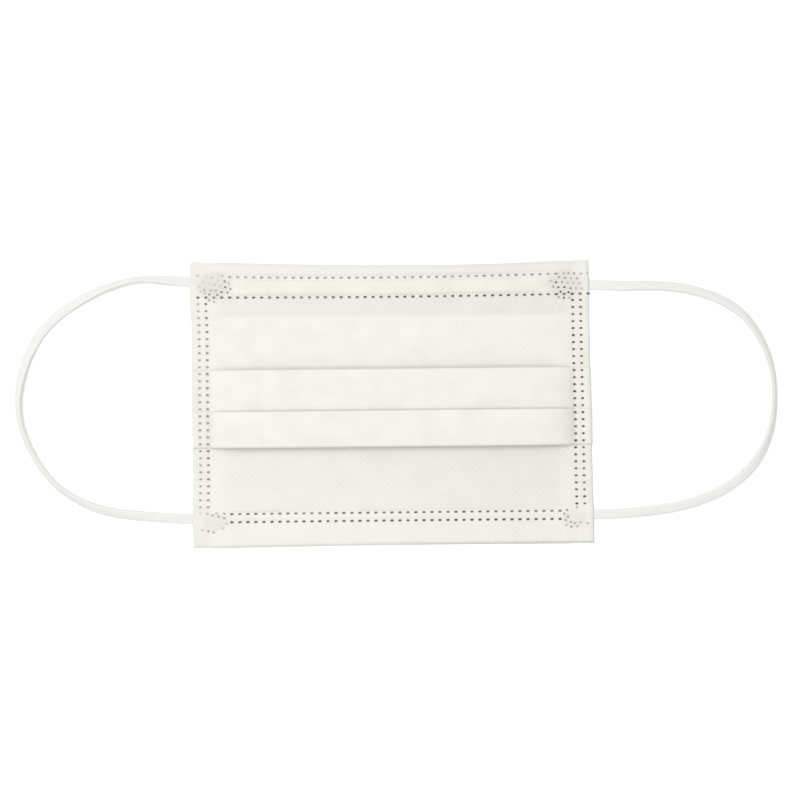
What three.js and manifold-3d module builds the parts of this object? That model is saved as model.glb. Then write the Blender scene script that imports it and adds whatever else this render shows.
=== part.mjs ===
// A child-size pleated surgical face mask, laid flat with its outer face up.
// A three-ply panel is folded into three pleats and two hems and welded flat down both sides.
// A nose wire lies in the top hem, and an elastic ear loop is welded under the corners of each side.
//
// Millimetres. +X runs across the face, +Y towards the nose edge and +Z out of the outer face.
// The origin is the middle of the panel, on the surface that it lies on.
import * as THREE from 'three';
import { mergeVertices } from 'three/addons/utils/BufferGeometryUtils.js';
import Module from 'manifold-3d';

// Driving dimensions of the panel.
const PANEL_WIDTH = 125.5; // between the side edges
const PANEL_HEIGHT = 89.6; // between the top and bottom edges, at the corners
const CLOTH = 1.0; // wall: three plies and the loft between them
const LAYER_GAP = 0.3; // between folded layers
const TOP_EDGE_SAG = 1.4; // how far the top edge bows in at mid-width
const BOTTOM_EDGE_SAG = 0.4;
const SAG_BAND = 11.8; // the bow dies out this far in from an edge

// The welded side strips, where all layers are fused, and the shoulder down to them.
const STRIP_WIDTH = 7.0;
const STRIP_THICKNESS = 2.0;
const STRIP_BURY = 0.1; // the pressed layers end this far inside the strip's faces
const SHOULDER_WIDTH = 6.0;
const LAYER_END = 59.0; // half-width at which the pressed layers end inside the strips

// The corners lie on the flat-welded ends of the ear loops.
const CORNER_LIFT = 1.2;
const LIFT_X = { none: 49.0, full: 53.0 };
const LIFT_Y = { none: 27.0, full: 33.0 };

// The nose wire, and where its middle lies.
const WIRE = { length: 96.4, width: 3.2, thickness: 0.9, y: 36.5, endRadius: 1.2, endSteps: 4 };

// The ear loops: flat knitted elastic, pressed to a share of its thickness where it is welded
// under the corners, and at full thickness again a little way outside them.
const ELASTIC = { width: 3.2, thickness: 1.8, sides: 8, steps: 30 };
const WELD_PRESS = { share: 0.5, from: 68.5, to: 74.0 };

// The cloth's course in side view, from the free edge of the top hem to that of the bottom hem.
// A run goes from one Y to another at a height counted in layers above the surface.
// Where the next run turns back, a round fold joins the two, and otherwise a smooth ramp does.
const COURSE = [
  { run: 'top hem', from: 27.6, to: 44.8, layer: 0 },
  { run: 'top margin', from: 44.8, to: 40.1, layer: 1 },
  { run: 'wire channel', from: 38.6, to: 34.4, layer: 1.93 },
  { run: 'top hem cover', from: 32.9, to: 26.8, layer: 1 },
  { run: 'upper panel', from: 21.5, to: 1.1, layer: 0 },
  { run: 'first underlap', from: 1.1, to: 11.1, layer: 1 },
  { run: 'first panel', from: 11.1, to: -11.8, layer: 2 },
  { run: 'second underlap', from: -11.8, to: -1.8, layer: 3 },
  { run: 'centre panel', from: -1.8, to: -13.6, layer: 4 },
  { run: 'third underlap', from: -13.6, to: -3.6, layer: 1 },
  { run: 'lower panel', from: -3.6, to: -21.5, layer: 0 },
  { run: 'bottom hem cover', from: -26.6, to: -44.8, layer: 1 },
  { run: 'bottom hem', from: -44.8, to: -27.4, layer: 0 },
];
const FOLD_STEPS = 4; // pieces of each half-round fold
const RAMP_STEPS = 4; // pieces of each ramp
const RUN_STEP = 5.5; // longest straight piece of a run

// Half-widths at which the panel's section is repeated, closer where it is pressed down.
const STATIONS = [15, 30, 44, 49.5, 51.5, 53.5, 56, LAYER_END];
const STRIP_CUTS = { across: 2, along: 32 }; // faces of each side strip
const WELD_TOLERANCE = 1e-4; // vertices closer than this are one

// The ear loops' routes over the surface, X and Y of the elastic's middle, from weld to weld.
const LOOP_LEFT = [
  [-53.5, 37.2], [-58.0, 38.0], [-62.8, 38.5], [-68.9, 38.9], [-74.6, 39.3], [-80.6, 39.0],
  [-86.5, 37.5], [-92.6, 35.2], [-98.5, 32.0], [-104.4, 27.9], [-109.4, 22.6], [-113.1, 16.3],
  [-115.5, 9.2], [-116.6, 1.8], [-115.8, -5.7], [-113.3, -12.7], [-109.7, -19.1], [-105.0, -24.7],
  [-99.3, -28.9], [-93.1, -31.8], [-86.6, -33.6], [-80.4, -34.4], [-74.7, -34.9], [-69.2, -35.3],
  [-63.0, -35.8], [-58.5, -36.3], [-54.0, -36.8],
];
const LOOP_RIGHT = [
  [54.0, 36.8], [58.5, 36.4], [62.8, 36.2], [70.1, 35.9], [75.4, 35.8], [81.4, 35.8],
  [87.9, 35.4], [94.8, 34.1], [102.1, 31.6], [108.9, 27.5], [113.8, 21.7], [117.3, 14.8],
  [119.2, 7.2], [119.5, -0.7], [118.6, -8.4], [116.0, -15.6], [111.6, -21.9], [105.6, -26.9],
  [98.8, -30.4], [92.1, -32.6], [85.6, -33.9], [79.8, -34.6], [74.4, -35.1], [69.2, -35.4],
  [63.2, -35.5], [58.8, -36.0], [54.5, -36.6],
];

const HALF_WIDTH = PANEL_WIDTH / 2;
const HALF_HEIGHT = PANEL_HEIGHT / 2;

const wasm = await Module();
wasm.setup();

const { smoothstep, lerp } = THREE.MathUtils;
const heightOf = (layer) => CLOTH / 2 + layer * (CLOTH + LAYER_GAP);

// Points from a to b, b left out, no further apart than RUN_STEP.
function straight(a, b) {
  const count = Math.max(1, Math.ceil(a.distanceTo(b) / RUN_STEP));
  return Array.from({ length: count }, (_, i) => a.clone().lerp(b, i / count));
}

// The middle line of the cloth in side view, as (Y, Z) points.
function clothLine() {
  const points = [];
  let start = new THREE.Vector2(COURSE[0].from, heightOf(COURSE[0].layer));
  COURSE.forEach((row, i) => {
    const next = COURSE[i + 1];
    const way = Math.sign(row.to - row.from);
    const z = heightOf(row.layer);
    if (!next) {
      const end = new THREE.Vector2(row.to, z);
      points.push(...straight(start, end), end);
      return;
    }
    const rise = heightOf(next.layer) - z;
    if (Math.sign(next.to - next.from) === way) {
      points.push(...straight(start, new THREE.Vector2(row.to, z)));
      for (let k = 0; k < RAMP_STEPS; k++) {
        const t = k / RAMP_STEPS;
        points.push(new THREE.Vector2(lerp(row.to, next.from, t), z + rise * smoothstep(t, 0, 1)));
      }
      start = new THREE.Vector2(next.from, z + rise);
      return;
    }
    const radius = Math.abs(rise) / 2;
    const centre = row.to - way * (radius + CLOTH / 2);
    points.push(...straight(start, new THREE.Vector2(centre, z)));
    for (let k = 0; k < FOLD_STEPS; k++) {
      const angle = (Math.PI * k) / FOLD_STEPS;
      const y = centre + way * radius * Math.sin(angle);
      points.push(new THREE.Vector2(y, z + (rise * (1 - Math.cos(angle))) / 2));
    }
    start = new THREE.Vector2(centre, z + rise);
  });
  return points;
}

// The closed outline of the folded cloth: its middle line moved half a wall to each side.
function clothOutline() {
  const line = clothLine();
  const side = (hand) =>
    line.map((p, i) => {
      const before = line[Math.max(i - 1, 0)];
      const after = line[Math.min(i + 1, line.length - 1)];
      const along = after.clone().sub(before).normalize();
      return new THREE.Vector2(p.x - (hand * along.y * CLOTH) / 2, p.y + (hand * along.x * CLOTH) / 2);
    });
  return [...side(1), ...side(-1).reverse()];
}

// Moves every vertex of a geometry by a function of its place.
function reshape(geometry, move) {
  const position = geometry.attributes.position;
  const p = new THREE.Vector3();
  for (let i = 0; i < position.count; i++) {
    move(p.fromBufferAttribute(position, i));
    position.setXYZ(i, p.x, p.y, p.z);
  }
  return geometry;
}

// The bow of the top and bottom edges, and the rise of the corners over the ends of the loops.
function settle(p) {
  const across = 1 - Math.min(1, (p.x / HALF_WIDTH) ** 2);
  const inBand = Math.max(0, (Math.abs(p.y) - HALF_HEIGHT + SAG_BAND) / SAG_BAND);
  const sag = p.y > 0 ? TOP_EDGE_SAG : BOTTOM_EDGE_SAG;
  const corner =
    smoothstep(Math.abs(p.x), LIFT_X.none, LIFT_X.full) * smoothstep(Math.abs(p.y), LIFT_Y.none, LIFT_Y.full);
  p.y -= Math.sign(p.y) * sag * across * inBand ** 2;
  p.z += CORNER_LIFT * corner;
}

// A closed geometry as a manifold-3d solid, and a solid's mesh as a geometry again.
function toSolid(geometry) {
  const bare = new THREE.BufferGeometry().setAttribute('position', geometry.attributes.position);
  if (geometry.index) bare.setIndex(geometry.index);
  const merged = mergeVertices(bare, WELD_TOLERANCE);
  return new wasm.Manifold(
    new wasm.Mesh({
      numProp: 3,
      vertProperties: new Float32Array(merged.attributes.position.array),
      triVerts: new Uint32Array(merged.index.array),
    }),
  );
}

function toGeometry(solid) {
  const mesh = solid.getMesh();
  const geometry = new THREE.BufferGeometry();
  geometry.setAttribute('position', new THREE.BufferAttribute(mesh.vertProperties, 3));
  geometry.setIndex(new THREE.BufferAttribute(mesh.triVerts, 1));
  geometry.computeVertexNormals();
  return geometry;
}

// The folded cloth drawn out from side to side and pressed down towards the side strips.
function foldedCloth() {
  const stations = [...STATIONS].reverse().map((x) => -x).concat(0, STATIONS);
  const steps = stations.length - 1;
  const outline = new THREE.Shape(clothOutline());
  const geometry = new THREE.ExtrudeGeometry(outline, { depth: steps, steps, bevelEnabled: false });
  const stackHeight = heightOf(Math.max(...COURSE.map((row) => row.layer))) + CLOTH / 2;
  const pressed = (STRIP_THICKNESS - 2 * STRIP_BURY) / stackHeight;
  const foot = HALF_WIDTH - STRIP_WIDTH;
  return reshape(geometry, (p) => {
    const [y, z, x] = [p.x, p.y, stations[Math.round(p.z)]];
    const press = smoothstep(Math.abs(x), foot - SHOULDER_WIDTH, foot);
    p.set(x, y, lerp(z, STRIP_BURY + z * pressed, press));
    settle(p);
  });
}

// One fused side strip. Its sides are cut fine enough to follow the lifted corners.
function sideStrip(side) {
  const { across, along } = STRIP_CUTS;
  const geometry = new THREE.BoxGeometry(STRIP_WIDTH, PANEL_HEIGHT, STRIP_THICKNESS, across, along, 1);
  geometry.translate(side * (HALF_WIDTH - STRIP_WIDTH / 2), 0, STRIP_THICKNESS / 2);
  return reshape(geometry, settle);
}

function pleatedPanel() {
  const solid = toSolid(foldedCloth()).add(toSolid(sideStrip(-1))).add(toSolid(sideStrip(1)));
  return toGeometry(solid);
}

// The nose wire: a flat strip with rounded ends, lying in its channel between hem and cover.
function noseWire() {
  const { thickness, y } = WIRE;
  const [x, h, r] = [WIRE.length / 2, WIRE.width / 2, WIRE.endRadius];
  const outline = new THREE.Shape();
  outline.moveTo(-x + r, -h).lineTo(x - r, -h);
  outline.absarc(x - r, -h + r, r, -Math.PI / 2, 0).absarc(x - r, h - r, r, 0, Math.PI / 2);
  outline.lineTo(-x + r, h);
  outline.absarc(-x + r, h - r, r, Math.PI / 2, Math.PI).absarc(-x + r, -h + r, r, Math.PI, 1.5 * Math.PI);
  const drawn = { depth: thickness, bevelEnabled: false, curveSegments: WIRE.endSteps };
  return new THREE.ExtrudeGeometry(outline, drawn).translate(0, y, CLOTH + LAYER_GAP);
}

// An ear loop: a flat tube along its route, lying on the surface, pressed thinner under the corners.
function earLoop(route) {
  const { width, thickness, sides, steps } = ELASTIC;
  const path = new THREE.CatmullRomCurve3(route.map(([x, y]) => new THREE.Vector3(x, y, 0)));
  const reach = 0.5 / Math.cos(Math.PI / sides); // the section's corners, as a share of its size
  const section = new THREE.Shape(
    Array.from({ length: sides }, (_, i) => {
      const angle = (2 * Math.PI * (i + 0.5)) / sides;
      return new THREE.Vector2(reach * thickness * Math.cos(angle), reach * width * Math.sin(angle));
    }),
  );
  const geometry = new THREE.ExtrudeGeometry(section, { steps, extrudePath: path, bevelEnabled: false });
  return reshape(geometry, (p) => {
    const press = lerp(WELD_PRESS.share, 1, smoothstep(Math.abs(p.x), WELD_PRESS.from, WELD_PRESS.to));
    p.z = (p.z + thickness / 2) * press;
  });
}

function piece(name, geometry, colour, roughness, metalness = 0) {
  const material = new THREE.MeshStandardMaterial({ color: colour, roughness, metalness });
  const mesh = new THREE.Mesh(geometry, material);
  mesh.name = name;
  return mesh;
}

const mask = new THREE.Group();
mask.name = 'surgical_face_mask';
mask.add(
  piece('pleated_panel', pleatedPanel(), '#f4f5ee', 0.9),
  piece('nose_wire', noseWire(), '#efefe6', 0.45),
  piece('ear_loop_left', earLoop(LOOP_LEFT), '#f3f5f1', 0.85),
  piece('ear_loop_right', earLoop(LOOP_RIGHT), '#f3f5f1', 0.85),
);

export default mask;
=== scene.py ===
"""A child-size pleated surgical face mask, lying flat with its outer face up.

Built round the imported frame: the folded cloth, its weld dots, the nose wire and two ear loops.
Blender's unit is the metre. Sizes below are in millimetres and are turned to metres by MM.
"""

import math

import bpy
import numpy as np
from mathutils import Matrix, Vector


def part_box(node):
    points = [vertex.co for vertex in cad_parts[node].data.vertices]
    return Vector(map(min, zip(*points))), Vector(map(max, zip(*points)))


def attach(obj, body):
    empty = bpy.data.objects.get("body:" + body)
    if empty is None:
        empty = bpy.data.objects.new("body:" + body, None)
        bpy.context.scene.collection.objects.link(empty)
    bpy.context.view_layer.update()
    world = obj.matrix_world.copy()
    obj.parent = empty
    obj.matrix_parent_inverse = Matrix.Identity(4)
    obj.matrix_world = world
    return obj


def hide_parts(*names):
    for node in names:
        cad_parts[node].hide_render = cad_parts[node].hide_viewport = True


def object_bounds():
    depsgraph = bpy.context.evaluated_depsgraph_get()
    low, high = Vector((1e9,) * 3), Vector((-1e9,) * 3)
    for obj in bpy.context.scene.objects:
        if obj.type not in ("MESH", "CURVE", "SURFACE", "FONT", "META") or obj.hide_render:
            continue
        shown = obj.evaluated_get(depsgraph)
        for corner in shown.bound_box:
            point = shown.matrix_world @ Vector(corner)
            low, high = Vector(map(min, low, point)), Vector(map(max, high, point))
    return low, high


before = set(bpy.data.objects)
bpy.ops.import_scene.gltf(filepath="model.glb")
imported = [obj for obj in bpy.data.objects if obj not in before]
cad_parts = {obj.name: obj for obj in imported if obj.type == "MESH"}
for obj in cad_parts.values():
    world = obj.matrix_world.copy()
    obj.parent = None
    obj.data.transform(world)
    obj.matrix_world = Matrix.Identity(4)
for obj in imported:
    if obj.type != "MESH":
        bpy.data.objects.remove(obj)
cad_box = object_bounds()

MM = 0.001

# The panel's footprint in the frame, in millimetres.
PANEL_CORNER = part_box("pleated_panel")[1] / MM
HALF_WIDTH = PANEL_CORNER.x
HALF_HEIGHT = PANEL_CORNER.y
OVERALL_WIDTH = (cad_box[1].x - cad_box[0].x) / MM

# The camera looks straight down. The mask lies a little askew in its view.
VIEW_SHARE = 1.0453  # width of the view over the mask's whole width
VIEW_CENTRE = (2.7, 0.8)
SKEW = math.radians(0.6)
LENS = 100.0
SENSOR = 36.0

# Cloth, in millimetres.
CLOTH = 0.45  # three plies with their loft
CREASE_REACH = 2.6  # how far in from its fold a layer is drawn to it
PRESSED_PLY = 0.15  # one layer where it is welded flat
FLOOR_GAP = 0.04

HEM_HEIGHT = 0.28  # of the middle of a folded-back hem, which lies on the floor

# The cloth's course in side view, from the free edge of the top hem to that of the bottom hem.
# run: name. start, end: Y where the run begins and ends. height: of the cloth's middle at mid-width.
# rank: layers under it where all are pressed flat. puff: extra height half-way along the run.
# cuts: pieces of the run. emboss: how clearly the bond points show, from 0 to 1; the cloth is also darker
# where it is higher.
# fold, gap: height of the middle of the fold that ends the run, and between its two layers' middles.
COURSE_COLUMNS = ("run", "start", "end", "height", "rank", "puff", "cuts", "emboss", "fold", "gap")
COURSE = (
    ("top hem", 27.6, 44.8, HEM_HEIGHT, 0, 0.0, 8, 0.6, 0.55, 0.5),
    ("top margin", 44.8, 40.9, 0.85, 1, 0.05, 8, 0.65, None, None),
    ("wire channel", 39.0, 34.6, 0.95, 1, 0.1, 14, 0.4, None, None),
    ("hem cover", 32.6, 28.0, 0.75, 1, 0.0, 8, 1.0, None, None),
    ("upper panel", 26.4, 12.1, 0.8, 0, 0.75, 22, 0.35, None, None),
    ("first fold bed", 10.6, 1.0, 0.4, 0, 0.0, 5, 0.3, 0.9, 0.5),
    ("first underlap", 1.0, 10.65, 1.65, 1, 0.0, 6, 0.3, 2.55, 0.8),
    ("first panel", 10.65, -1.8, 3.1, 2, 0.4, 20, 0.3, None, None),
    ("second fold bed", -3.2, -11.8, 2.2, 2, 0.0, 5, 0.3, 2.75, 0.5),
    ("second underlap", -11.8, -2.25, 3.4, 3, 0.0, 6, 0.3, 4.2, 1.0),
    ("centre panel", -2.25, -13.75, 4.95, 4, 0.3, 20, 0.3, 4.1, 1.5),
    ("third underlap", -13.75, -3.6, 1.4, 1, 0.0, 9, 0.3, 0.9, 0.5),
    ("third fold bed", -3.6, -12.4, 0.45, 0, 0.0, 5, 0.7, None, None),
    ("lower panel", -13.2, -26.4, 0.5, 0, 0.3, 22, 0.75, None, None),
    ("bottom hem cover", -28.2, -32.8, 0.8, 1, 0.05, 8, 0.7, None, None),
    ("bottom margin", -33.4, -44.7, 0.85, 1, 0.1, 18, 0.45, 0.6, 0.6),
    ("bottom hem", -44.7, -27.4, HEM_HEIGHT, 0, 0.0, 8, 0.6, None, None),
)
FOLD_CUTS = 7
RAMP_CUTS = 5
HEM_COVER_FROM = 33.0  # Y above which the outer layer lies over the top hem and the nose wire
# Stations across the cloth are closer together beside this X, where it goes down to the welds.
SIDE_START = 46.0
SIDE_STATIONS = 42
MIDDLE_STATIONS = 76

# Bow of the top and bottom edges, how far each reaches in, and how fast it fades.
TOP_SAG = (1.4, 22.8, 1.8)
BOTTOM_SAG = (0.4, 11.8, 2.0)
# The panel is not quite square. Its top edge drops to the right and its bottom edge to the left,
# in all by twice these. The top edge also dips right of the middle, by a share of its slope.
# The right side stands in and leans, in millimetres per millimetre of Y. The left side stands in
# too, less so near its two corners.
TOP_SLOPE = 0.3
TOP_DIP = 0.8
BOTTOM_SLOPE = 0.2
RIGHT_IN = 0.35
RIGHT_LEAN = -0.011
LEFT_IN = 0.5
LEFT_TOP_OUT = 0.35
LEFT_BOTTOM_OUT = 0.2
# Heights of the unevenness of the puffed cloth: long and short waves, puckers towards the right
# and the left side, puckers that fan out from the upper corner welds, and one crease.
LONG_WAVE = 0.1
SHORT_WAVE = 0.06
RIGHT_PUCKER = 0.05
LEFT_PUCKER = 0.03
FAN_PUCKER = 0.12
FAN_RAYS = 13
CREASE_DEPTH = 0.7
CREASE_PLACE = (-51.0, 25.0)
LEVEL_SHARE = 0.7  # of that unevenness, where the cloth lies straight on the floor
# How grey the cloth looks, from 0 to 1: painted shade along the bottom edge at its left and right
# and along the top edge, the grey of the left and right welded side, and painted shade at the right edge.
BOTTOM_EDGE_SHADE = (0.45, 0.95)
TOP_EDGE_SHADE = 0.14
SIDE_GREY = (0.11, 0.05)
RIGHT_EDGE_SHADE = 0.2
# The nose wire's middle, half its length and half its width.
WIRE_Y = 36.6
WIRE_HALF = (48.2, 1.5)
WIRE_THICK = 0.34
WIRE_BEVEL = 0.12
CORE_RADIUS = 0.22
CORE_OFFSET = 0.7  # of each steel core from the middle of the strip
CORE_SHORT = 0.6  # how much earlier than the strip a core ends, on each side
WIRE_RISE = 0.22  # how far the cloth stands up over the wire
# From the wire's side, and from its end, to where the cloth over it starts to go down, and is down.
WIRE_SIDE_SLOPE = (-0.3, 1.9)
WIRE_END_SLOPE = (-0.4, 0.8)

WELD_PITCH_ROW = 2.49
WELD_PITCH_COLUMN = 2.19
# A weld dot at size 1: its whole radius, thickness, the width of its rim's outer and inner slope,
# the height of the rim, the depth of the film below the rim, and how deep it is set in the cloth.
DOT_SIDES = 16
DOT_RADIUS = 0.76
DOT_THICK = 0.18
DOT_SLOPE = 0.1
DOT_RIM = 0.05
DOT_PIT = 0.08
DOT_SET = 0.04
# How much the dots differ, to each side: in size, in turn and in paleness.
DOT_GROW = 0.06
DOT_SPIN = 0.06
DOT_SHADE = 0.1
DOT_LEVEL = 4  # weight of straight up against the five slopes of the cloth under a dot
# Weld rows across the mask: y of the dots, first and last x, size of the dots along x and y, and
# how pale the fused film looks, from 0 to 1.
ROW_COLUMNS = ("row", "y", "first", "last", "size_x", "size_y", "pale")
WELD_ROWS = (
    ("upper wire row", 40.05, -50.1, 51.8, 1.02, 0.54, 0.3),
    ("lower wire row", 33.5, -60.1, 61.8, 1.02, 0.64, 0.03),
    ("bottom inner row", -34.3, -50.2, 52.3, 0.94, 0.62, 0.1),
    ("bottom outer row", -36.85, -50.2, 52.3, 0.96, 0.66, 0.0),
)
# Weld columns down the sides: x of the dots, first and last y, and the same.
COLUMN_COLUMNS = ("column", "x", "first", "last", "size_x", "size_y", "pale")
INNER_COLUMN = 57.5  # X of the pressed strips that the columns are welded in, on both sides
OUTER_COLUMN = 60.0
WELD_LINES = (
    ("left outer", -60.35, 31.4, -32.1, 0.86, 0.58, 0.4),
    ("left inner", -57.9, 31.4, -32.1, 0.9, 0.62, 0.24),
    ("right inner", 57.6, 31.5, -32.1, 0.86, 0.62, 0.03),
    ("right outer", 60.1, 31.5, -32.1, 0.84, 0.62, 0.07),
)
# How firmly each weld presses the layers together, from 0 to 1.
SIDE_PRESS = 0.98
ROW_PRESS = 0.6
PATCH_PRESS = 0.9
SIDE_STEEPNESS = 14  # how late, on the way to a side weld, the puffed layers come together
GROOVE_EDGE = (0.35, 1.4)  # from the middle of a row to where its groove starts to rise, and ends
ROW_FADE = 3.0  # length over which a groove fades past its last dot
# Corner welds over the ends of the ear loops: middle, half sizes along x and y, how grey they look,
# and Y of the ear loop's end under the cloth.
PATCH_COLUMNS = ("corner", "x", "y", "half_x", "half_y", "grey", "loop_y")
WELD_PATCHES = (
    ("top left", -55.2, 37.2, 6.3, 5.2, 0.38, 38.0),
    ("top right", 55.6, 36.8, 6.3, 5.0, 0.38, 36.5),
    ("bottom left", -55.6, -36.8, 4.9, 3.3, 0.25, -36.2),
    ("bottom right", 57.2, -36.5, 4.4, 3.0, 0.15, -36.0),
)
# The small dots of the corner welds: their size along x and y, then x, y and how plainly each
# shows, from 0 to 1.
CORNER_DOT_SIZE = (0.66, 0.58)
CORNER_DOTS = (
    (-51.7, 38.4, 0.8), (-50.4, 37.8, 0.4), (-51.5, 36.6, 0.9), (-49.9, 36.0, 0.6), (-52.7, 35.1, 0.9),
    (-50.8, 34.9, 0.8), (-58.1, 35.8, 0.6), (-56.1, 35.6, 0.5), (-54.5, 35.6, 0.6), (-56.5, 34.4, 0.7),
    (-54.0, 34.2, 0.8), (-56.6, 32.6, 0.6), (-55.1, 32.1, 0.4), (-57.9, 34.8, 0.4), (-60.1, 40.3, 0.2),
    (-58.6, 38.3, 0.2), (-55.8, 39.6, 0.3), (-54.9, 37.4, 0.3), (-53.7, 38.7, 0.3), (-52.4, 40.2, 0.4),
    (-56.6, 37.6, 0.2), (-53.1, 37.0, 0.3), (-59.2, 35.3, 0.3), (-57.5, 40.1, 0.2), (-59.6, 36.8, 0.2),
    (54.3, 39.9, 0.4), (55.7, 39.9, 0.5), (57.5, 39.8, 0.5), (59.6, 39.7, 0.3), (61.6, 39.8, 0.4),
    (52.7, 38.6, 0.6), (54.7, 38.4, 0.6), (56.5, 38.3, 0.4), (58.3, 38.2, 0.4), (50.1, 37.6, 0.3),
    (51.8, 37.1, 0.8), (53.7, 37.1, 0.7), (55.4, 36.9, 0.3), (57.2, 36.8, 0.3), (59.1, 36.7, 0.3),
    (50.9, 35.7, 0.5), (52.5, 35.5, 0.8), (54.4, 35.5, 0.9), (56.3, 35.2, 0.7), (58.1, 35.1, 0.3),
    (59.8, 35.1, 0.3), (53.2, 34.1, 0.8), (55.7, 33.9, 0.9), (52.6, 32.4, 0.5), (54.2, 32.2, 0.8),
    (56.0, 32.2, 0.4), (-60.1, -33.9, 0.2), (-57.8, -34.1, 0.4), (-56.2, -34.6, 0.5), (-55.0, -34.0, 0.3),
    (-54.4, -35.0, 0.5), (-52.5, -34.1, 0.7), (-52.6, -35.5, 0.5), (-51.8, -37.2, 0.3), (-53.0, -38.7, 0.4),
    (-55.9, -39.9, 0.5), (-57.6, -39.6, 0.5), (-59.4, -39.2, 0.3), (57.6, -33.3, 0.3), (54.5, -34.1, 0.5),
    (53.6, -35.2, 0.4), (54.8, -36.2, 0.7), (54.0, -37.2, 0.3), (55.7, -37.8, 0.5), (56.9, -38.2, 0.6),
    (58.7, -38.0, 0.5), (54.3, -38.7, 0.3), (55.8, -39.3, 0.5), (57.8, -39.2, 0.3), (60.9, -38.3, 0.3),
)

# The elastic, in millimetres, and the routes of its middle over the floor.
ELASTIC_WIDTH = 3.2
ELASTIC_THICK = 1.35
ELASTIC_WALES = 5
ELASTIC_COURSE = 1.0  # length of one stitch along the elastic
ELASTIC_SIDES = 40
STITCH_SLANT = 0.45  # how far a stitch leans from the middle of its wale to the edge, in stitches
STITCH_RELIEF = 0.03
WALE_GROOVE = 0.07
TAIL_THIN = 0.28  # share of its thickness that a welded end keeps
TAIL_LIFT = 0.42  # how far a corner stands up over a welded end
TAIL_RIDGE = 3.0  # half the width of the ridge of cloth over it
SECTION_POWERS = (0.85, 0.75)  # across and up: below 1 the oval section is squarer, at 1 it is round
TURN_REACH = 16  # rings to each side over which the turning is evened out
# From the panel's side to where a loop starts to fill out from its flat end, and is whole.
FILL_OUT = (-2.5, 9.0)
LOOP_LEFT = (
    (-53.5, 37.2), (-58.0, 38.0), (-62.8, 38.5), (-68.9, 38.9), (-74.6, 39.3), (-80.6, 39.0),
    (-86.5, 37.5), (-92.6, 35.2), (-98.5, 32.0), (-104.4, 27.9), (-109.4, 22.6), (-113.1, 16.3),
    (-115.5, 9.2), (-116.6, 1.8), (-115.8, -5.7), (-113.3, -12.7), (-109.7, -19.1), (-105.0, -24.7),
    (-99.3, -28.9), (-93.1, -31.8), (-86.6, -33.6), (-80.4, -34.4), (-74.7, -34.9), (-69.2, -35.3),
    (-63.0, -35.8), (-58.5, -36.3), (-54.0, -36.8),
)
LOOP_RIGHT = (
    (54.0, 36.8), (58.5, 36.4), (62.8, 36.2), (70.1, 35.9), (75.4, 35.8), (81.4, 35.8),
    (87.9, 35.4), (94.8, 34.1), (102.1, 31.6), (108.9, 27.5), (113.8, 21.7), (117.3, 14.8),
    (119.2, 7.2), (119.5, -0.7), (118.6, -8.4), (116.0, -15.6), (111.6, -21.9), (105.6, -26.9),
    (98.8, -30.4), (92.1, -32.6), (85.6, -33.9), (79.8, -34.6), (74.4, -35.1), (69.2, -35.4),
    (63.2, -35.5), (58.8, -36.0), (54.5, -36.6),
)
# How the flat elastic turns on its edge: share of its length, and degrees from lying flat.
TURN_LEFT = (
    (0.0, 0), (0.07, 0), (0.10, 30), (0.14, 62), (0.17, 60), (0.21, 50), (0.25, 28), (0.29, 6),
    (0.37, 4), (0.41, 18), (0.46, 40), (0.50, 56), (0.55, 66), (0.66, 66), (0.70, 58), (0.74, 48),
    (0.78, 34), (0.84, 22), (0.88, 5), (1.0, 0),
)
TURN_RIGHT = (
    (0.0, 0), (0.08, 0), (0.12, 18), (0.18, 28), (0.28, 30), (0.34, 38), (0.39, 48), (0.44, 58),
    (0.485, 68), (0.53, 62), (0.58, 48), (0.63, 20), (0.68, 6), (1.0, 0),
)


def rows(columns, table):
    """The rows of a table as dictionaries with its column names."""
    return [dict(zip(columns, row)) for row in table]


def smooth(value, low, high):
    """0 at low, 1 at high, and a smooth rise between. Works on arrays."""
    t = np.clip((value - low) / (high - low), 0.0, 1.0)
    return t * t * (3.0 - 2.0 * t)


def hump(value, middle, half):
    """1 at the middle, falling smoothly to 0 at half to each side."""
    return 1.0 - smooth(np.abs(value - middle), 0.0, half)


# ---------------------------------------------------------------- camera


def make_camera():
    """A long lens straight above that takes in the whole mask."""
    width = VIEW_SHARE * OVERALL_WIDTH * MM
    data = bpy.data.cameras.new("camera")
    data.lens = LENS
    data.sensor_width = SENSOR
    data.clip_end = 10.0
    camera = bpy.data.objects.new("camera", data)
    camera.location = (VIEW_CENTRE[0] * MM, VIEW_CENTRE[1] * MM, width * LENS / SENSOR)
    camera.rotation_euler = (0.0, 0.0, -SKEW)
    bpy.context.scene.collection.objects.link(camera)
    bpy.context.scene.camera = camera


# ---------------------------------------------------------------- meshes

UNROLLED = "unrolled"  # the UV map of a cloth or elastic as it lies before it is folded or bent


def grid_faces(rings, around):
    """Quads that join closed rings of points, ring by ring."""
    faces = []
    for i in range(rings - 1):
        for j in range(around):
            k = (j + 1) % around
            faces.append((i * around + j, (i + 1) * around + j, (i + 1) * around + k, i * around + k))
    return faces


def mesh_object(name, points, faces, uv=None, attributes=None):
    """An object from points in millimetres. uv has a pair for each point, which MM shrinks too."""
    mesh = bpy.data.meshes.new(name)
    mesh.from_pydata((np.asarray(points) * MM).tolist(), [], faces)
    mesh.validate()
    if uv is not None:
        layer = mesh.uv_layers.new(name=UNROLLED)
        corner = np.zeros(len(mesh.loops), np.int32)
        mesh.loops.foreach_get("vertex_index", corner)
        layer.data.foreach_set("uv", (np.asarray(uv)[corner] * MM).astype(np.float32).ravel())
    for key, values in (attributes or {}).items():
        mark = mesh.attributes.new(key, "FLOAT", "POINT")
        mark.data.foreach_set("value", np.asarray(values, np.float32))
    mesh.polygons.foreach_set("use_smooth", np.ones(len(mesh.polygons), bool))
    mesh.update()
    made = bpy.data.objects.new(name, mesh)
    bpy.context.scene.collection.objects.link(made)
    return made


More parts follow.
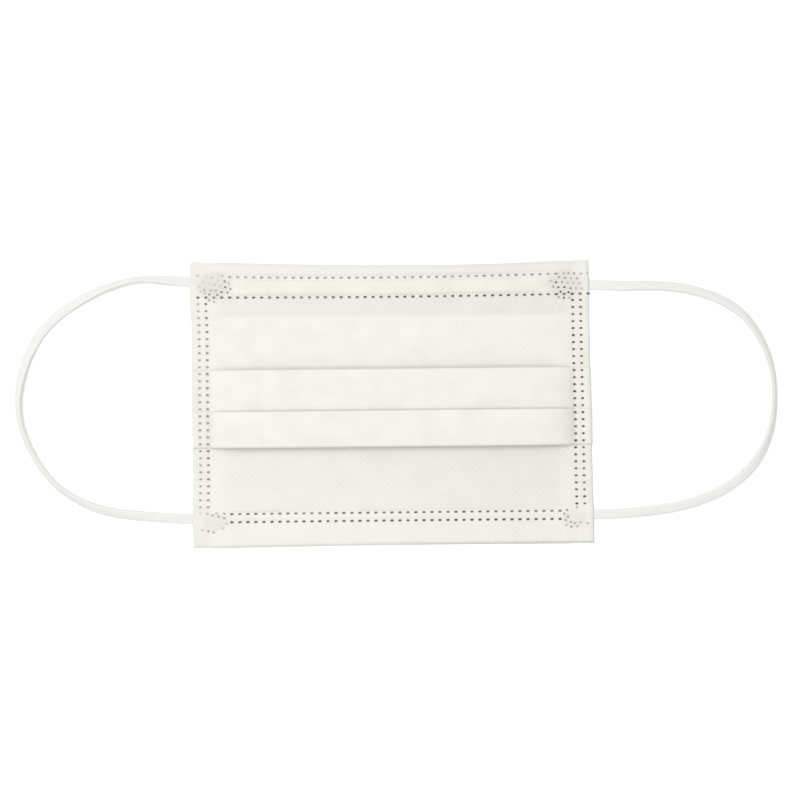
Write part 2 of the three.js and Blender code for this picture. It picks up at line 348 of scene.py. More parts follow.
# ---------------------------------------------------------------- ear loops


SPLINE_CUTS = 24  # between two points of a route


def spline(points, step):
    """A smooth curve through the points, sampled about every step."""
    p = np.array(points, float)
    p = np.vstack([2 * p[0] - p[1], p, 2 * p[-1] - p[-2]])
    fine = []
    for a, b, c, d in zip(p[:-3], p[1:-2], p[2:-1], p[3:]):
        for t in np.linspace(0.0, 1.0, SPLINE_CUTS, endpoint=False):
            square = (2 * a - 5 * b + 4 * c - d) * t**2
            cube = (3 * b - a - 3 * c + d) * t**3
            fine.append(0.5 * (2 * b + (c - a) * t + square + cube))
    fine.append(p[-2])
    fine = np.array(fine)
    along = np.concatenate([[0.0], np.cumsum(np.linalg.norm(np.diff(fine, axis=0), axis=1))])
    at = np.linspace(0.0, along[-1], int(round(along[-1] / step)) + 1)
    return at, np.stack([np.interp(at, along, fine[:, k]) for k in range(fine.shape[1])], axis=1)


def make_ear_loop(name, route, turns, side):
    """Flat knitted elastic: a tube along the route whose rings carry the wales and stitches."""
    around = ELASTIC_SIDES
    at, line = spline(route, ELASTIC_COURSE / 4)  # four rings to a stitch
    share = at / at[-1]
    tangent = np.gradient(line, axis=0)
    tangent /= np.linalg.norm(tangent, axis=1)[:, None]
    outward = side * np.stack([tangent[:, 1], -tangent[:, 0]], axis=1)
    kernel = np.hanning(2 * TURN_REACH + 1)
    turn = np.interp(share, *np.array(turns, float).T)
    turn = np.pad(turn, TURN_REACH, mode="edge")
    turn = np.radians(np.convolve(turn, kernel / kernel.sum(), mode="valid"))
    free = smooth(np.abs(line[:, 0]) - HALF_WIDTH, *FILL_OUT)
    half_w = ELASTIC_WIDTH / 2
    half_t = ELASTIC_THICK / 2 * (TAIL_THIN + (1 - TAIL_THIN) * free)
    centre_z = np.sqrt((half_w * np.sin(turn)) ** 2 + (half_t * np.cos(turn)) ** 2) + FLOOR_GAP

    # Along it, uv counts in millimetres. Across it, uv counts the wales.
    points, uv = [], []
    angle = 2 * np.pi * np.arange(around) / around
    across = np.sign(np.cos(angle)) * np.abs(np.cos(angle)) ** SECTION_POWERS[0]
    up = np.sign(np.sin(angle)) * np.abs(np.sin(angle)) ** SECTION_POWERS[1]
    wale = (across * 0.5 + 0.5) * ELASTIC_WALES
    in_wale = np.abs(np.mod(wale, 1.0) - 0.5) * 2.0
    for i in range(len(at)):
        stitch = np.cos(2 * np.pi * (at[i] / ELASTIC_COURSE + STITCH_SLANT * in_wale))
        relief = free[i] * (STITCH_RELIEF * stitch * (1.0 - in_wale**2) - WALE_GROOVE * in_wale**3)
        w = across * (half_w + relief)
        t = up * (half_t[i] + relief)
        flat = w * np.cos(turn[i]) - t * np.sin(turn[i])
        tall = w * -np.sin(turn[i]) - t * np.cos(turn[i])
        place = line[i] + np.outer(flat, outward[i])
        points.append(np.column_stack([place, centre_z[i] - tall]))
        uv.append(np.stack([np.full(around, at[i]), wale], axis=1))
    points, uv = np.concatenate(points), np.concatenate(uv)
    points[:, 2] = np.maximum(points[:, 2], FLOOR_GAP / 2)
    last = (len(at) - 1) * around
    ends = [tuple(range(around)), tuple(reversed(range(last, last + around)))]
    faces = grid_faces(len(at), around) + ends
    if side < 0:
        faces = [face[::-1] for face in faces]
    loop = mesh_object(name, points, faces, uv)
    path = np.column_stack([line, centre_z]) * MM
    return loop, path.tolist()


# ---------------------------------------------------------------- folded cloth


def cloth_line():
    """The cloth's middle line in side view, as arrays: y, height, rank and emboss."""
    table = rows(COURSE_COLUMNS, COURSE)
    points = []
    start = table[0]["start"]
    fold_before = None
    for row, after in zip(table, table[1:] + [None]):
        way = math.copysign(1.0, row["end"] - row["start"])
        fold = row["fold"]
        end = row["end"] - way * (row["gap"] + CLOTH) / 2 if fold else row["end"]
        rise = math.copysign(row["gap"] / 2, after["height"] - row["height"]) if fold else 0.0
        for k in range(row["cuts"] + (after is None)):
            t = k / row["cuts"]
            place = start + (end - start) * t
            height = row["height"] + row["puff"] * math.sin(math.pi * t)
            if fold:
                near = 1 - float(smooth(abs(place - end), 0.0, CREASE_REACH))
                height += (fold - rise - height) * near
            if fold_before is not None:
                near = 1 - float(smooth(abs(place - start), 0.0, CREASE_REACH))
                height += (fold_before - height) * near
            points.append((place, height, row["rank"], row["emboss"]))
        if after is None:
            break
        if fold:
            for k in range(FOLD_CUTS):
                turn = math.pi * k / FOLD_CUTS
                t = (1 - math.cos(turn)) / 2
                place = end + way * row["gap"] / 2 * math.sin(turn)
                height = fold - rise * math.cos(turn)
                rank = row["rank"] + (after["rank"] - row["rank"]) * t
                points.append((place, height, rank, row["emboss"]))
            start, fold_before = end, fold + rise
            continue
        for k in range(RAMP_CUTS):
            t = k / RAMP_CUTS
            soft = float(smooth(t, 0.0, 1.0))
            mixed = [row[key] + (after[key] - row[key]) * soft for key in ("height", "rank", "emboss")]
            points.append((end + (after["start"] - end) * t, *mixed))
        start, fold_before = after["start"], None
    return np.array(points).T


def sag_of(x, y):
    """How far the bowed top and bottom edges move a place in Y."""
    across = 1 - np.minimum(1.0, (x / HALF_WIDTH) ** 2)
    total = np.zeros_like(across * y)
    for sign, (depth, band, power) in ((1, TOP_SAG), (-1, BOTTOM_SAG)):
        reach = np.maximum(0.0, (sign * y - HALF_HEIGHT + band) / band) ** power
        total = total - sign * depth * across * reach
    drop = 1 + x / HALF_WIDTH + TOP_DIP * hump(x, 27.0, 26.0)
    top = TOP_SLOPE * drop * smooth(y, 40.5, HALF_HEIGHT)
    bottom = BOTTOM_SLOPE * (0.5 - x / HALF_WIDTH) * smooth(-y, 38.0, HALF_HEIGHT)
    return total - top - bottom


def lean_of(x, y):
    """How far the leaning sides move a place in X."""
    right = RIGHT_LEAN * y - RIGHT_IN
    left = LEFT_IN - LEFT_TOP_OUT * hump(y, 35.0, 13.0) - LEFT_BOTTOM_OUT * hump(y, -34.0, 12.0)
    return smooth(np.abs(x), 30.0, 62.0) * np.where(x > 0, right, left)


def patch_of(x, y, patch):
    """1 inside a corner weld, falling to 0 just past its edge."""
    radius = np.hypot((x - patch["x"]) / patch["half_x"], (y - patch["y"]) / patch["half_y"])
    return 1.0 - smooth(radius, 0.55, 1.2)


def press_of(x, y):
    """How far the layers are pressed together at a place, from 0, puffed, to 1, welded."""
    beside = np.abs(x)
    to_side = SIDE_PRESS * np.clip((beside / INNER_COLUMN) ** SIDE_STEEPNESS, 0.0, 1.0)
    off_dots = np.minimum(np.abs(beside - INNER_COLUMN), np.abs(beside - OUTER_COLUMN))
    strip = SIDE_PRESS - 0.07 * smooth(off_dots, 0.5, 1.2)
    press = np.where(beside > INNER_COLUMN, strip, to_side)
    for row in rows(ROW_COLUMNS, WELD_ROWS):
        begun = smooth(x, row["first"] - ROW_FADE, row["first"])
        ended = smooth(x, row["last"], row["last"] + ROW_FADE)
        groove = 1 - smooth(np.abs(y - row["y"]), *GROOVE_EDGE)
        press = np.maximum(press, ROW_PRESS * groove * begun * (1 - ended))
    for patch in rows(PATCH_COLUMNS, WELD_PATCHES):
        press = np.maximum(press, PATCH_PRESS * patch_of(x, y, patch))
    return press


def corner_lift(x, y):
    """The rise of a corner over the welded end of its ear loop."""
    lift = np.zeros_like(x)
    for patch in rows(PATCH_COLUMNS, WELD_PATCHES):
        out_x = x * np.sign(patch["x"])
        out_y = y * np.sign(patch["y"])
        ridge = 0.45 + 0.55 * np.exp(-(((y - patch["loop_y"]) / TAIL_RIDGE) ** 4))
        lift = lift + TAIL_LIFT * smooth(out_x, 46.0, 53.0) * smooth(out_y, 27.0, 34.0) * ridge
    return lift


def ripple(x, y):
    """Soft unevenness of the puffed cloth."""
    calm = LONG_WAVE * np.sin(x / 9.1 + 0.7 * np.sin(y / 7.0))
    calm = calm + SHORT_WAVE * np.sin(x / 5.3 + y / 6.1 + 1.3)
    pucker = RIGHT_PUCKER * np.sin(x / 1.7 + 0.8 * np.sin(y / 3.9)) * smooth(x, 30.0, 48.0)
    pucker = pucker + LEFT_PUCKER * np.sin(x / 1.5 + 1.1 * np.sin(y / 3.3)) * smooth(-x, 34.0, 50.0)
    crease_x, crease_y = CREASE_PLACE
    off_crease = y - crease_y + (x - crease_x) * 0.5
    crease = -CREASE_DEPTH * hump(x, crease_x, 5.5) * np.exp(-((off_crease / 0.65) ** 2))
    for patch in rows(PATCH_COLUMNS, WELD_PATCHES)[:2]:
        away = np.hypot(x - patch["x"], y - patch["y"])
        fan = np.sin(FAN_RAYS * np.arctan2(y - patch["y"], np.abs(x - patch["x"])))
        pucker = pucker + FAN_PUCKER * fan * smooth(away, 5.0, 7.0) * (1 - smooth(away, 8.0, 15.0))
    return calm + pucker + crease


def wire_bump(x, y):
    """The rise of the cloth over the nose wire."""
    off_end = np.abs(x) - WIRE_HALF[0]
    off_side = np.abs(y - WIRE_Y) - WIRE_HALF[1]
    return (1 - smooth(off_side, *WIRE_SIDE_SLOPE)) * (1 - smooth(off_end, *WIRE_END_SLOPE))


def weld_grey_and_edge_shade_of(x, y):
    """How grey the cloth looks: the grey of the corner welds and the welded sides, and painted shade along
    the cut or folded edges.
    """
    corners = sum(patch_of(x, y, patch) * patch["grey"] for patch in rows(PATCH_COLUMNS, WELD_PATCHES))
    # Painted shade along the bottom edge, stronger towards the right.
    bottom = BOTTOM_EDGE_SHADE[0] + (BOTTOM_EDGE_SHADE[1] - BOTTOM_EDGE_SHADE[0]) * smooth(x, -20.0, 50.0)
    bottom = bottom * (1 - smooth(y + HALF_HEIGHT, 0.1, 1.4))
    # Painted shade along the top edge.
    top = TOP_EDGE_SHADE * smooth(y, HALF_HEIGHT - 1.6, HALF_HEIGHT - 0.6)
    sides = np.where(x < 0, *SIDE_GREY) * smooth(np.abs(x), 56.0, 58.0)
    # Painted shade along the right edge.
    right_edge_shade = RIGHT_EDGE_SHADE * smooth(x, HALF_WIDTH - 1.2, HALF_WIDTH - 0.3)
    return np.maximum.reduce([corners, bottom, top, sides + right_edge_shade])


def clear_emboss(x):
    """How much clearer or fainter than usual the bond points show at a place across the mask."""
    to_right = 0.85 + 0.3 * smooth(x, -20.0, 45.0)
    return to_right * (1 - 0.5 * smooth(np.abs(x), 50.0, 57.0))


def make_panel():
    """The folded cloth as one closed skin: its middle line moved half its thickness to each side."""
    y, height, rank, emboss = cloth_line()
    count = len(y)
    flat = np.concatenate([[0.0], np.cumsum(np.hypot(np.diff(y), np.diff(height)))])
    hem_cuts = rows(COURSE_COLUMNS, COURSE)[0]["cuts"]
    cover = (np.arange(count) > hem_cuts + 2) & (y > HEM_COVER_FROM)
    beside = np.linspace(SIDE_START, HALF_WIDTH, SIDE_STATIONS)
    between = np.linspace(-SIDE_START, SIDE_START, MIDDLE_STATIONS)[1:-1]
    stations = np.concatenate([-beside[::-1], between, beside])
    points, uv, marks = [], [], {"emboss": [], "grey": [], "warm": []}
    for x in stations:
        xs = np.full(count, x)
        press = press_of(xs, y)
        bump = wire_bump(xs, y) * cover
        uneven = ripple(xs, y) * (1 - press) * np.where(rank > 0.5, 1.0, LEVEL_SHARE)
        puffed = height + uneven + WIRE_RISE * bump
        z = np.maximum(puffed, CLOTH / 2 + FLOOR_GAP)
        z = z + (FLOOR_GAP + PRESSED_PLY * (rank + 0.5) - z) * press + corner_lift(xs, y)
        half = (CLOTH + (PRESSED_PLY - CLOTH) * press) / 2
        warm = (1 - smooth(np.abs(y - WIRE_Y), 1.8, 3.2)) * (1 - smooth(np.abs(xs), 46.0, 49.5)) * cover
        looks = {"emboss": emboss * clear_emboss(xs), "grey": weld_grey_and_edge_shade_of(xs, y), "warm": warm}
        xx = xs + lean_of(xs, y)
        yy = y + sag_of(xs, y)
        along = np.stack([np.gradient(yy), np.gradient(z)], axis=1)
        along /= np.linalg.norm(along, axis=1)[:, None]
        for hand, order in ((1, slice(None)), (-1, slice(None, None, -1))):
            side = np.stack([xx, yy - hand * along[:, 1] * half, z + hand * along[:, 0] * half], axis=1)
            points.append(side[order])
            uv.append(np.stack([xs, flat], axis=1)[order])
            for key, values in looks.items():
                marks[key].append(values[order])
    around = 2 * count
    faces = grid_faces(len(stations), around)
    for ring, flip in ((0, True), (len(stations) - 1, False)):
        for j in range(count - 1):
            a = ring * around
            quad = (a + j, a + around - 1 - j, a + around - 2 - j, a + j + 1)
            faces.append(quad[::-1] if flip else quad)
    panel = mesh_object(
        "folded_cloth",
        np.concatenate(points),
        faces,
        np.concatenate(uv),
        {key: np.concatenate(values) for key, values in marks.items()},
    )
    return panel, float(flat[-1])


# ---------------------------------------------------------------- weld dots and nose wire


def active(obj):
    """Selects one object alone and makes it the active one."""
    bpy.ops.object.select_all(action="DESELECT")
    obj.select_set(True)
    bpy.context.view_layer.objects.active = obj


def join(objects, name):
    """Joins the objects into one."""
    active(objects[0])
    for other in objects[1:]:
        other.select_set(True)
    bpy.ops.object.join()
    objects[0].name = name
    return objects[0]


def make_dot(cloth, film):
    """One weld dot at size 1: a raised rim of cloth round a sunk floor of clear film."""
    bpy.ops.object.select_all(action="DESELECT")
    bpy.ops.mesh.primitive_cylinder_add(
        vertices=DOT_SIDES, radius=DOT_RADIUS * MM, depth=DOT_THICK * MM, location=(0, 0, 0)
    )
    dot = bpy.context.object
    dot.name = "weld_dot"
    dot.data.materials.append(cloth)
    dot.data.materials.append(film)
    bpy.ops.object.mode_set(mode="EDIT")
    bpy.ops.mesh.select_mode(type="FACE")
    bpy.ops.mesh.select_all(action="DESELECT")
    bpy.ops.object.mode_set(mode="OBJECT")
    for polygon in dot.data.polygons:
        polygon.select = polygon.normal.z > 0.9
    bpy.ops.object.mode_set(mode="EDIT")
    bpy.ops.mesh.inset(thickness=DOT_SLOPE * MM)
    bpy.ops.transform.translate(value=(0, 0, DOT_RIM * MM))
    bpy.ops.mesh.inset(thickness=DOT_SLOPE * MM)
    bpy.ops.transform.translate(value=(0, 0, -DOT_PIT * MM))
    dot.active_material_index = 1
    bpy.ops.object.material_slot_assign()
    bpy.ops.object.mode_set(mode="OBJECT")
    return dot


def dot_places():
    """x, y, size along x, size along y and paleness of every weld dot."""
    places = []
    for row in rows(ROW_COLUMNS, WELD_ROWS):
        count = int(round((row["last"] - row["first"]) / WELD_PITCH_ROW)) + 1
        for x in np.linspace(row["first"], row["last"], count):
            sag = float(sag_of(np.array([x]), np.array([row["y"]]))[0])
            places.append((x, row["y"] + sag, row["size_x"], row["size_y"], row["pale"]))
    for line in rows(COLUMN_COLUMNS, WELD_LINES):
        count = int(round((line["first"] - line["last"]) / WELD_PITCH_COLUMN)) + 1
        for y in np.linspace(line["first"], line["last"], count):
            lean = float(lean_of(np.array([line["x"]]), np.array([y]))[0])
            places.append((line["x"] + lean, y, line["size_x"], line["size_y"], line["pale"]))
    for x, y, plain in CORNER_DOTS:
        shown = plain * (1.0 if y > 0 else 0.85)
        places.append((x, y, *CORNER_DOT_SIZE, 0.92 - shown))
    return places


def lie_on(panel, x, y, wide, tall):
    """Where a dot's middle goes so that all of it shows above the cloth, and the cloth's normal."""
    hits = []
    for dx, dy in ((0, 0), (wide, 0), (-wide, 0), (0, tall), (0, -tall)):
        above = Vector(((x + dx) * MM, (y + dy) * MM, 0.1))
        hit, place, normal, _face = panel.ray_cast(above, Vector((0, 0, -1)))
        if hit:
            hits.append((place, normal))
    middle = hits[0][0]
    normal = sum((normal for _place, normal in hits), Vector((0, 0, DOT_LEVEL))).normalized()
    return middle + normal * max((place - middle).dot(normal) for place, _normal in hits), normal


def make_weld_dots(panel, cloth, film):
    """Copies of the dot, each laid on the cloth under it and turned to its slope, then joined."""
    pattern = make_dot(cloth, film)
    bpy.context.view_layer.update()
    chance = np.random.default_rng(11)
    copies = []
    for x, y, size_x, size_y, pale in dot_places():
        place, normal = lie_on(panel, x, y, DOT_RADIUS * size_x, DOT_RADIUS * size_y)
        grow = chance.uniform(1 - DOT_GROW, 1 + DOT_GROW)
        spin = chance.uniform(-DOT_SPIN, DOT_SPIN)
        shade = chance.uniform(-DOT_SHADE, DOT_SHADE)
        copy = pattern.copy()
        copy.data = pattern.data.copy()
        right = Vector((1, 0, 0)) - normal * normal.x
        axes = Matrix((right.normalized(), normal.cross(right).normalized(), normal))
        turn = axes.transposed().to_4x4()
        lift = Matrix.Translation(place - normal * DOT_SET * MM)
        stretch = Matrix.Diagonal((size_x * grow, size_y * grow, 1.0, 1.0))
        copy.data.transform(lift @ turn @ Matrix.Rotation(spin, 4, "Z") @ stretch)
        mark = copy.data.attributes.new("pale", "FLOAT", "POINT")
        mark.data.foreach_set("value", [min(1.0, max(0.0, pale + shade))] * len(copy.data.vertices))
        bpy.context.scene.collection.objects.link(copy)
        copies.append(copy)
    bpy.data.objects.remove(pattern)
    return join(copies, "weld_dots")


def make_nose_wire(coating):
    """A flat plastic strip with a steel core raised along each edge, inside the wire channel."""
    low = 2 * HEM_HEIGHT
    made = []
    bpy.ops.object.select_all(action="DESELECT")
    bpy.ops.mesh.primitive_cube_add(size=1.0, location=(0, WIRE_Y * MM, (low + WIRE_THICK / 2) * MM))
    strip = bpy.context.object
    bpy.ops.transform.resize(value=(2 * WIRE_HALF[0] * MM, 2 * WIRE_HALF[1] * MM, WIRE_THICK * MM))
    bpy.ops.object.transform_apply(location=False, rotation=False, scale=True)
    bpy.ops.object.modifier_add(type="BEVEL")
    strip.modifiers["Bevel"].width = WIRE_BEVEL * MM
    strip.modifiers["Bevel"].segments = 3
    bpy.ops.object.modifier_apply(modifier="Bevel")
    made.append(strip)
    for side in (-1, 1):
        bpy.ops.object.select_all(action="DESELECT")
        bpy.ops.mesh.primitive_cylinder_add(
            vertices=16,
            radius=CORE_RADIUS * MM,
            depth=2 * (WIRE_HALF[0] - CORE_SHORT) * MM,
            rotation=(0, math.pi / 2, 0),
            location=(0, (WIRE_Y + side * CORE_OFFSET) * MM, (low + CORE_RADIUS) * MM),
        )
        made.append(bpy.context.object)
    wire = join(made, "coated_nose_wire")
    active(wire)
    bpy.ops.object.transform_apply(location=True, rotation=True, scale=True)
    bpy.ops.object.shade_smooth_by_angle(angle=math.radians(40))
    wire.data.materials.append(coating)
    return wire


# ---------------------------------------------------------------- materials

BOND_PITCH = 1.5  # between rows of bond points
BOND_ANGLE = 44  # degrees that the rows run from the length of the mask
# Noise scales, in features per metre.
TUFT_SCALE = 2600.0  # tufts of fibre 0.4 mm apart: single fibres are too fine to show
CLOUD_SCALE = 140.0  # thick and thin places of the web, 7 mm apart
BLOTCH_SCALE = 900.0  # uneven fusing, 1 mm apart
YARN_SCALE = 4200.0  # plies of the yarn, 0.24 mm apart
DRAWN_SCALE = (120.0, 3000.0, 3000.0)  # streaks 8 mm long and 0.3 mm wide along the wire


def linear(code):
    """A hex sRGB colour as the linear RGBA that shaders take."""
    channels = [int(code[i : i + 2], 16) / 255 for i in (1, 3, 5)]
    return tuple(c / 12.92 if c <= 0.04045 else ((c + 0.055) / 1.055) ** 2.4 for c in channels) + (1.0,)


def add(tree, kind, inputs=None, **settings):
    """Adds a node. An input is a value, or the socket that feeds it."""
    node = tree.nodes.new(kind)
    for key, value in settings.items():
        setattr(node, key, value)
    for key, value in (inputs or {}).items():
        if isinstance(value, bpy.types.NodeSocket):
            tree.links.new(value, node.inputs[key])
        else:
            node.inputs[key].default_value = value
    return node


def new_material(name):
    """An empty node material and its tree."""
    material = bpy.data.materials.new(name)
    material.use_nodes = True
    material.node_tree.nodes.clear()
    return material, material.node_tree


def spunbond_cloth():
    """Spunbond polypropylene non-woven: matt white fibres with a lattice of small bond points."""
    material, tree = new_material("spunbond_polypropylene")
    place = add(tree, "ShaderNodeUVMap", uv_map=UNROLLED)
    turned = add(
        tree,
        "ShaderNodeMapping",
        {
            "Vector": place.outputs["UV"],
            "Rotation": (0, 0, math.radians(BOND_ANGLE)),
            "Scale": (2 * math.pi / (BOND_PITCH * MM),) * 3,
        },
    )
    split = add(tree, "ShaderNodeSeparateXYZ", {"Vector": turned.outputs["Vector"]})
    along = add(tree, "ShaderNodeMath", {0: split.outputs["X"]}, operation="COSINE")
    across = add(tree, "ShaderNodeMath", {0: split.outputs["Y"]}, operation="COSINE")
    half_along = add(tree, "ShaderNodeMath", {0: along.outputs["Value"], 1: 0.55}, operation="MULTIPLY")
    bond = add(
        tree,
        "ShaderNodeMath",
        {0: half_along.outputs["Value"], 1: across.outputs["Value"]},
        operation="ADD",
    )
    point = add(
        tree,
        "ShaderNodeMapRange",
        {"Value": bond.outputs["Value"], "From Min": 0.6, "From Max": 1.45},
        interpolation_type="SMOOTHSTEP",
    )
    mark = add(tree, "ShaderNodeAttribute", attribute_name="emboss")
    shown = add(
        tree,
        "ShaderNodeMath",
        {0: point.outputs["Result"], 1: mark.outputs["Fac"]},
        operation="MULTIPLY",
    )
    strands = add(
        tree,
        "ShaderNodeTexNoise",
        {
            "Vector": place.outputs["UV"],
            "Scale": TUFT_SCALE,
            "Detail": 4.0,
            "Roughness": 0.65,
            "Distortion": 2.5,
        },
    )
    cloud = add(
        tree,
        "ShaderNodeTexNoise",
        {"Vector": place.outputs["UV"], "Scale": CLOUD_SCALE, "Detail": 3.0},
    )
    fibre = add(
        tree,
        "ShaderNodeMath",
        {0: strands.outputs["Fac"], 1: cloud.outputs["Fac"]},
        operation="MULTIPLY",
    )
    warm = add(tree, "ShaderNodeAttribute", attribute_name="warm")
    uneven = add(
        tree,
        "ShaderNodeMath",
        {0: cloud.outputs["Fac"], 1: 0.5, 2: mark.outputs["Fac"]},
        operation="MULTIPLY_ADD",
    )
    # Darker in the thick places of the web and where the emboss mark is higher.
    darker_by_cloud_and_emboss = add(
        tree,
        "ShaderNodeMapRange",
        {"Value": uneven.outputs["Value"], "From Min": 0.62, "From Max": 1.25},
    )
    plain = add(
        tree,
        "ShaderNodeMix",
        {"Factor": darker_by_cloud_and_emboss.outputs["Result"], 6: linear("#ddddd6"), 7: linear("#d5d4ce")},
        data_type="RGBA",
    )
    over_wire = add(
        tree,
        "ShaderNodeMix",
        {"Factor": warm.outputs["Fac"], 6: plain.outputs[2], 7: linear("#dcdbd2")},
        data_type="RGBA",
    )
    # The grey attribute greys the cloth: the welds' own grey, and painted shade along the edges.
    grey = add(tree, "ShaderNodeAttribute", attribute_name="grey")
    welds_and_edge_shade = add(
        tree,
        "ShaderNodeMix",
        {"Factor": grey.outputs["Fac"], 6: over_wire.outputs[2], 7: linear("#b4b4af")},
        data_type="RGBA",
    )
    tone = add(
        tree,
        "ShaderNodeMix",
        {"Factor": shown.outputs["Value"], 6: welds_and_edge_shade.outputs[2], 7: linear("#d2d1ca")},
        data_type="RGBA",
    )
    thin = add(
        tree,
        "ShaderNodeMapRange",
        {
            "Value": fibre.outputs["Value"],
            "From Min": 0.12,
            "From Max": 0.38,
            "To Min": 0.95,
            "To Max": 1.035,
        },
    )
    felted = add(
        tree,
        "ShaderNodeMix",
        {"Factor": 1.0, 6: tone.outputs[2], 7: thin.outputs["Result"]},
        data_type="RGBA",
        blend_type="MULTIPLY",
    )
    height = add(tree, "ShaderNodeMath", {0: shown.outputs["Value"], 1: -0.5}, operation="MULTIPLY")
    relief = add(
        tree,
        "ShaderNodeMath",
        {0: strands.outputs["Fac"], 1: 0.6, 2: height.outputs["Value"]},
        operation="MULTIPLY_ADD",
    )
    bump = add(
        tree,
        "ShaderNodeBump",
        {"Strength": 0.6, "Distance": 0.06 * MM, "Height": relief.outputs["Value"]},
    )
    shader = add(
        tree,
        "ShaderNodeBsdfPrincipled",
        {
            "Base Color": felted.outputs[2],
            "Roughness": 0.85,
            "IOR": 1.49,
            "Sheen Weight": 0.08,
            "Sheen Roughness": 0.5,
            "Normal": bump.outputs["Normal"],
        },
    )
    add(tree, "ShaderNodeOutputMaterial", {"Surface": shader.outputs["BSDF"]})
    return material


def weld_film():
    """Fused polypropylene at the weld dots: thin clear film that looks grey in its pit."""
    material, tree = new_material("fused_polypropylene_film")
    place = add(tree, "ShaderNodeTexCoord")
    blotch = add(
        tree,
        "ShaderNodeTexNoise",
        {"Vector": place.outputs["Object"], "Scale": BLOTCH_SCALE, "Detail": 2.0},
    )
    clear = add(
        tree,
        "ShaderNodeMix",
        {"Factor": blotch.outputs["Fac"], 6: linear("#2d2c28"), 7: linear("#52514a")},
        data_type="RGBA",
    )
    pale = add(tree, "ShaderNodeAttribute", attribute_name="pale")
    tone = add(
        tree,
        "ShaderNodeMix",
        {"Factor": pale.outputs["Fac"], 6: clear.outputs[2], 7: linear("#cbcac2")},
        data_type="RGBA",
    )
    shader = add(
        tree,
        "ShaderNodeBsdfPrincipled",
        {"Base Color": tone.outputs[2], "Roughness": 0.35, "IOR": 1.49},
    )
    add(tree, "ShaderNodeOutputMaterial", {"Surface": shader.outputs["BSDF"]})
    return material


def knitted_elastic():
    """Knitted polyester over elastane: soft white yarn with small stitches in lengthwise wales, and painted
    shade in the grooves between wales and stitches.
    """
    material, tree = new_material("knitted_elastic")
    place = add(tree, "ShaderNodeUVMap", uv_map=UNROLLED)
    split = add(tree, "ShaderNodeSeparateXYZ", {"Vector": place.outputs["UV"]})
    wale = add(tree, "ShaderNodeMath", {0: split.outputs["Y"], 1: 1 / MM}, operation="MULTIPLY")
    ridge = add(tree, "ShaderNodeMath", {0: wale.outputs["Value"], 1: 0.5}, operation="PINGPONG")
    slant = add(
        tree,
        "ShaderNodeMath",
        {0: ridge.outputs["Value"], 1: -2 * STITCH_SLANT * 2 * math.pi, 2: STITCH_SLANT * 2 * math.pi},
        operation="MULTIPLY_ADD",
    )
    turn = add(
        tree,
        "ShaderNodeMath",
        {0: split.outputs["X"], 1: 2 * math.pi / (ELASTIC_COURSE * MM), 2: slant.outputs["Value"]},
        operation="MULTIPLY_ADD",
    )
    stitch = add(tree, "ShaderNodeMath", {0: turn.outputs["Value"]}, operation="COSINE")
    loops = add(
        tree,
        "ShaderNodeMath",
        {0: stitch.outputs["Value"], 1: 0.08, 2: ridge.outputs["Value"]},
        operation="MULTIPLY_ADD",
    )
    yarn = add(
        tree,
        "ShaderNodeTexNoise",
        {"Vector": place.outputs["UV"], "Scale": YARN_SCALE, "Detail": 3.0, "Roughness": 0.65},
    )
    relief = add(
        tree,
        "ShaderNodeMath",
        {0: yarn.outputs["Fac"], 1: 0.35, 2: loops.outputs["Value"]},
        operation="MULTIPLY_ADD",
    )
    raised = add(
        tree,
        "ShaderNodeMapRange",
        {"Value": relief.outputs["Value"], "From Min": 0.05, "From Max": 0.6},
    )
    # Tone: random yarn tone, and painted shade where the knit is low, in the grooves between wales and
    # between stitches.
    tone = add(
        tree,
        "ShaderNodeMix",
        {"Factor": raised.outputs["Result"], 6: linear("#cfd0cb"), 7: linear("#e0e0dc")},
        data_type="RGBA",
    )
    bump = add(
        tree,
        "ShaderNodeBump",
        {"Strength": 0.4, "Distance": 0.1 * MM, "Height": relief.outputs["Value"]},
    )
    shader = add(
        tree,
        "ShaderNodeBsdfPrincipled",
        {
            "Base Color": tone.outputs[2],
            "Roughness": 0.8,
            "Sheen Weight": 0.15,
            "Sheen Roughness": 0.4,
            "Normal": bump.outputs["Normal"],
        },
    )
    add(tree, "ShaderNodeOutputMaterial", {"Surface": shader.outputs["BSDF"]})
    return material


def coated_wire():
    """Galvanised wire in a polyethylene strip: waxy, off-white and a little glossy."""
    material, tree = new_material("polyethylene_coated_wire")
    place = add(tree, "ShaderNodeTexCoord")
    drawn = add(
        tree,
        "ShaderNodeMapping",
        {"Vector": place.outputs["Object"], "Scale": DRAWN_SCALE},
    )
    streak = add(
        tree,
        "ShaderNodeTexNoise",
        {"Vector": drawn.outputs["Vector"], "Scale": 1.0, "Detail": 2.0},
    )
    tone = add(
        tree,
        "ShaderNodeMix",
        {"Factor": streak.outputs["Fac"], 6: linear("#e4e2d6"), 7: linear("#f0efe6")},
        data_type="RGBA",
    )
    shader = add(
        tree,
        "ShaderNodeBsdfPrincipled",
        {"Base Color": tone.outputs[2], "Roughness": 0.42, "IOR": 1.51},
    )
    add(tree, "ShaderNodeOutputMaterial", {"Surface": shader.outputs["BSDF"]})
    return material


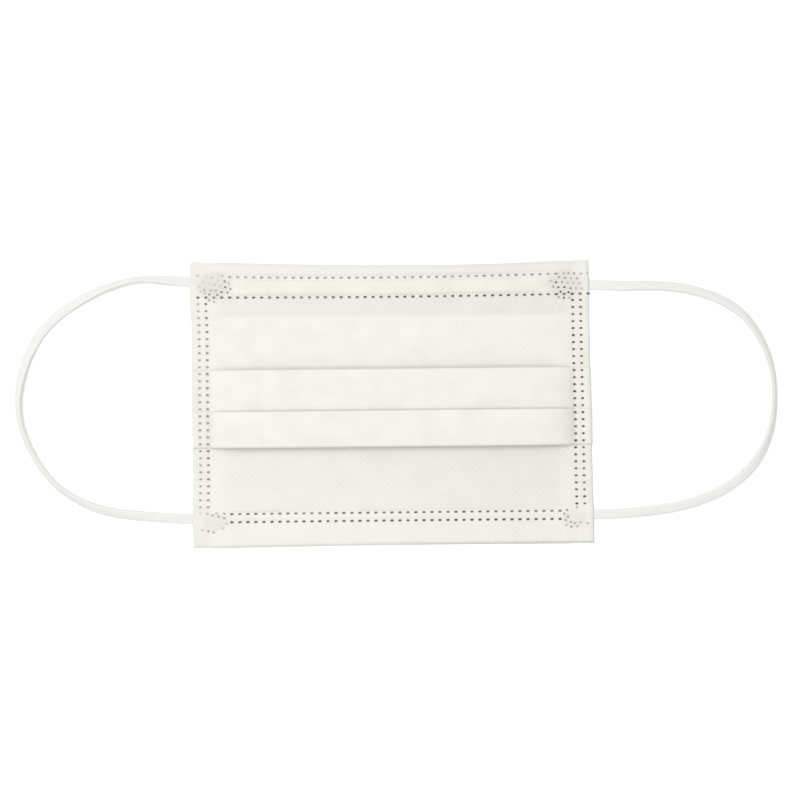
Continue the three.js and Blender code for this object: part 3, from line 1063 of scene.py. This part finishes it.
def studio_paper():
    """Matt white seamless paper."""
    material, tree = new_material("seamless_paper")
    shader = add(
        tree,
        "ShaderNodeBsdfPrincipled",
        {"Base Color": linear("#ffffff"), "Roughness": 0.9},
    )
    add(tree, "ShaderNodeOutputMaterial", {"Surface": shader.outputs["BSDF"]})
    return material


# ---------------------------------------------------------------- studio

# Lengths in metres, power in watts.
PAPER_SIDE = 6.0
SKY_STRENGTH = 0.7
SOFTBOX_SIDE = 0.8
SOFTBOX_POWER = 8.6
SOFTBOX_PLACE = (-0.3, 0.16, 1.08)


def make_studio():
    """A white paper floor under a bright even sky, with one softbox high up on the left."""
    bpy.ops.mesh.primitive_plane_add(size=PAPER_SIDE, location=(0, 0, 0))
    floor = bpy.context.object
    floor.name = "floor"
    floor.data.materials.append(studio_paper())

    scene = bpy.context.scene
    scene.view_settings.view_transform = "Standard"
    world = bpy.data.worlds.new("soft_room")
    scene.world = world
    world.use_nodes = True
    sky = world.node_tree.nodes["Background"]
    sky.inputs["Color"].default_value = (1.0, 1.0, 1.0, 1.0)
    sky.inputs["Strength"].default_value = SKY_STRENGTH

    data = bpy.data.lights.new("softbox", "AREA")
    data.shape = "RECTANGLE"
    data.size = SOFTBOX_SIDE
    data.size_y = SOFTBOX_SIDE
    data.energy = SOFTBOX_POWER
    lamp = bpy.data.objects.new("softbox", data)
    lamp.location = SOFTBOX_PLACE
    lamp.rotation_euler = (Vector((0, 0, 0)) - lamp.location).to_track_quat("-Z", "Y").to_euler()
    scene.collection.objects.link(lamp)


# ---------------------------------------------------------------- the mask

make_camera()

elastic = knitted_elastic()
for name, route, turns, side in (
    ("ear_loop_left", LOOP_LEFT, TURN_LEFT, -1),
    ("ear_loop_right", LOOP_RIGHT, TURN_RIGHT, 1),
):
    loop, path = make_ear_loop(name + "_knit", route, turns, side)
    loop.data.materials.append(elastic)
    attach(loop, "root")
    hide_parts(name)

cloth = spunbond_cloth()
panel, flat_length = make_panel()
panel.data.materials.append(cloth)
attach(panel, "root")
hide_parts("pleated_panel")

dots = make_weld_dots(panel, cloth, weld_film())
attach(dots, "root")

wire = make_nose_wire(coated_wire())
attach(wire, "root")
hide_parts("nose_wire")

make_studio()
